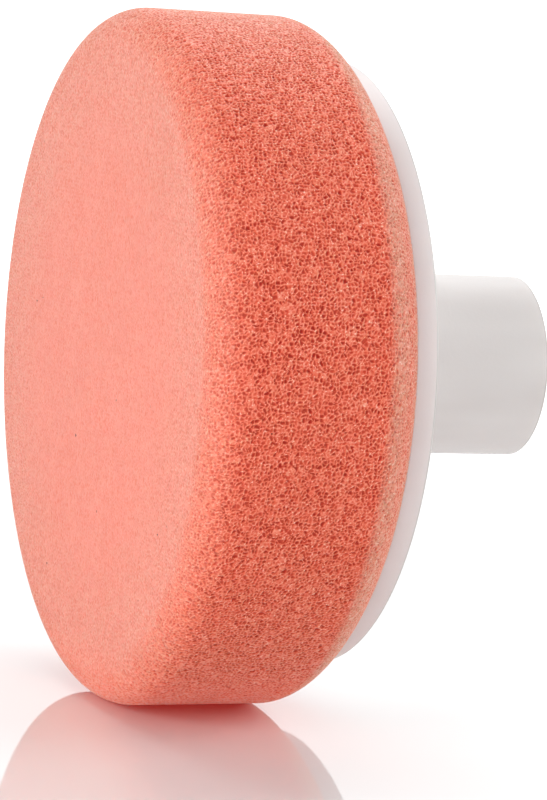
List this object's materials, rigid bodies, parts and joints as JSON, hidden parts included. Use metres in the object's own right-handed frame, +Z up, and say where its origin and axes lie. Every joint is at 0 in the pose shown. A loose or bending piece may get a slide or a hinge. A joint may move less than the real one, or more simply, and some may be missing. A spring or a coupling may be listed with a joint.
{
  "type": "polishing pad",
  "caption": "Round foam polishing pad held by hook-and-loop on a rigid backing plate, with a ribbed back and a long threaded hub for a polisher's spindle.",
  "frame": {"origin": "centre of the hub's open end, on the spindle axis", "axes": "+X along the spindle axis, out of the hub's mouth towards the polisher; the working face looks along -X; +Z up"},
  "size_m": [0.0556, 0.085, 0.085],
  "materials": {
    "foam": "matte",
    "laminate": "satin",
    "loop": "matte",
    "hook": "satin",
    "adhesive": "gloss",
    "plate": "satin",
    "hub": "satin",
    "insert": "satin"
  },
  "bodies": {
    "plate": {"backing_plate": "plate", "spindle_hub": "hub", "thread_insert": "insert", "hook_adhesive": "adhesive", "hook_disc": "hook"},
    "pad": {"foam_pad": "foam", "laminate_film": "laminate", "loop_disc": "loop"}
  },
  "joints": [
    {"name": "pad_release", "type": "slide", "parent": "plate", "child": "pad", "axis": [-1, 0, 0], "range_m": [0, 0.03]}
  ]
}
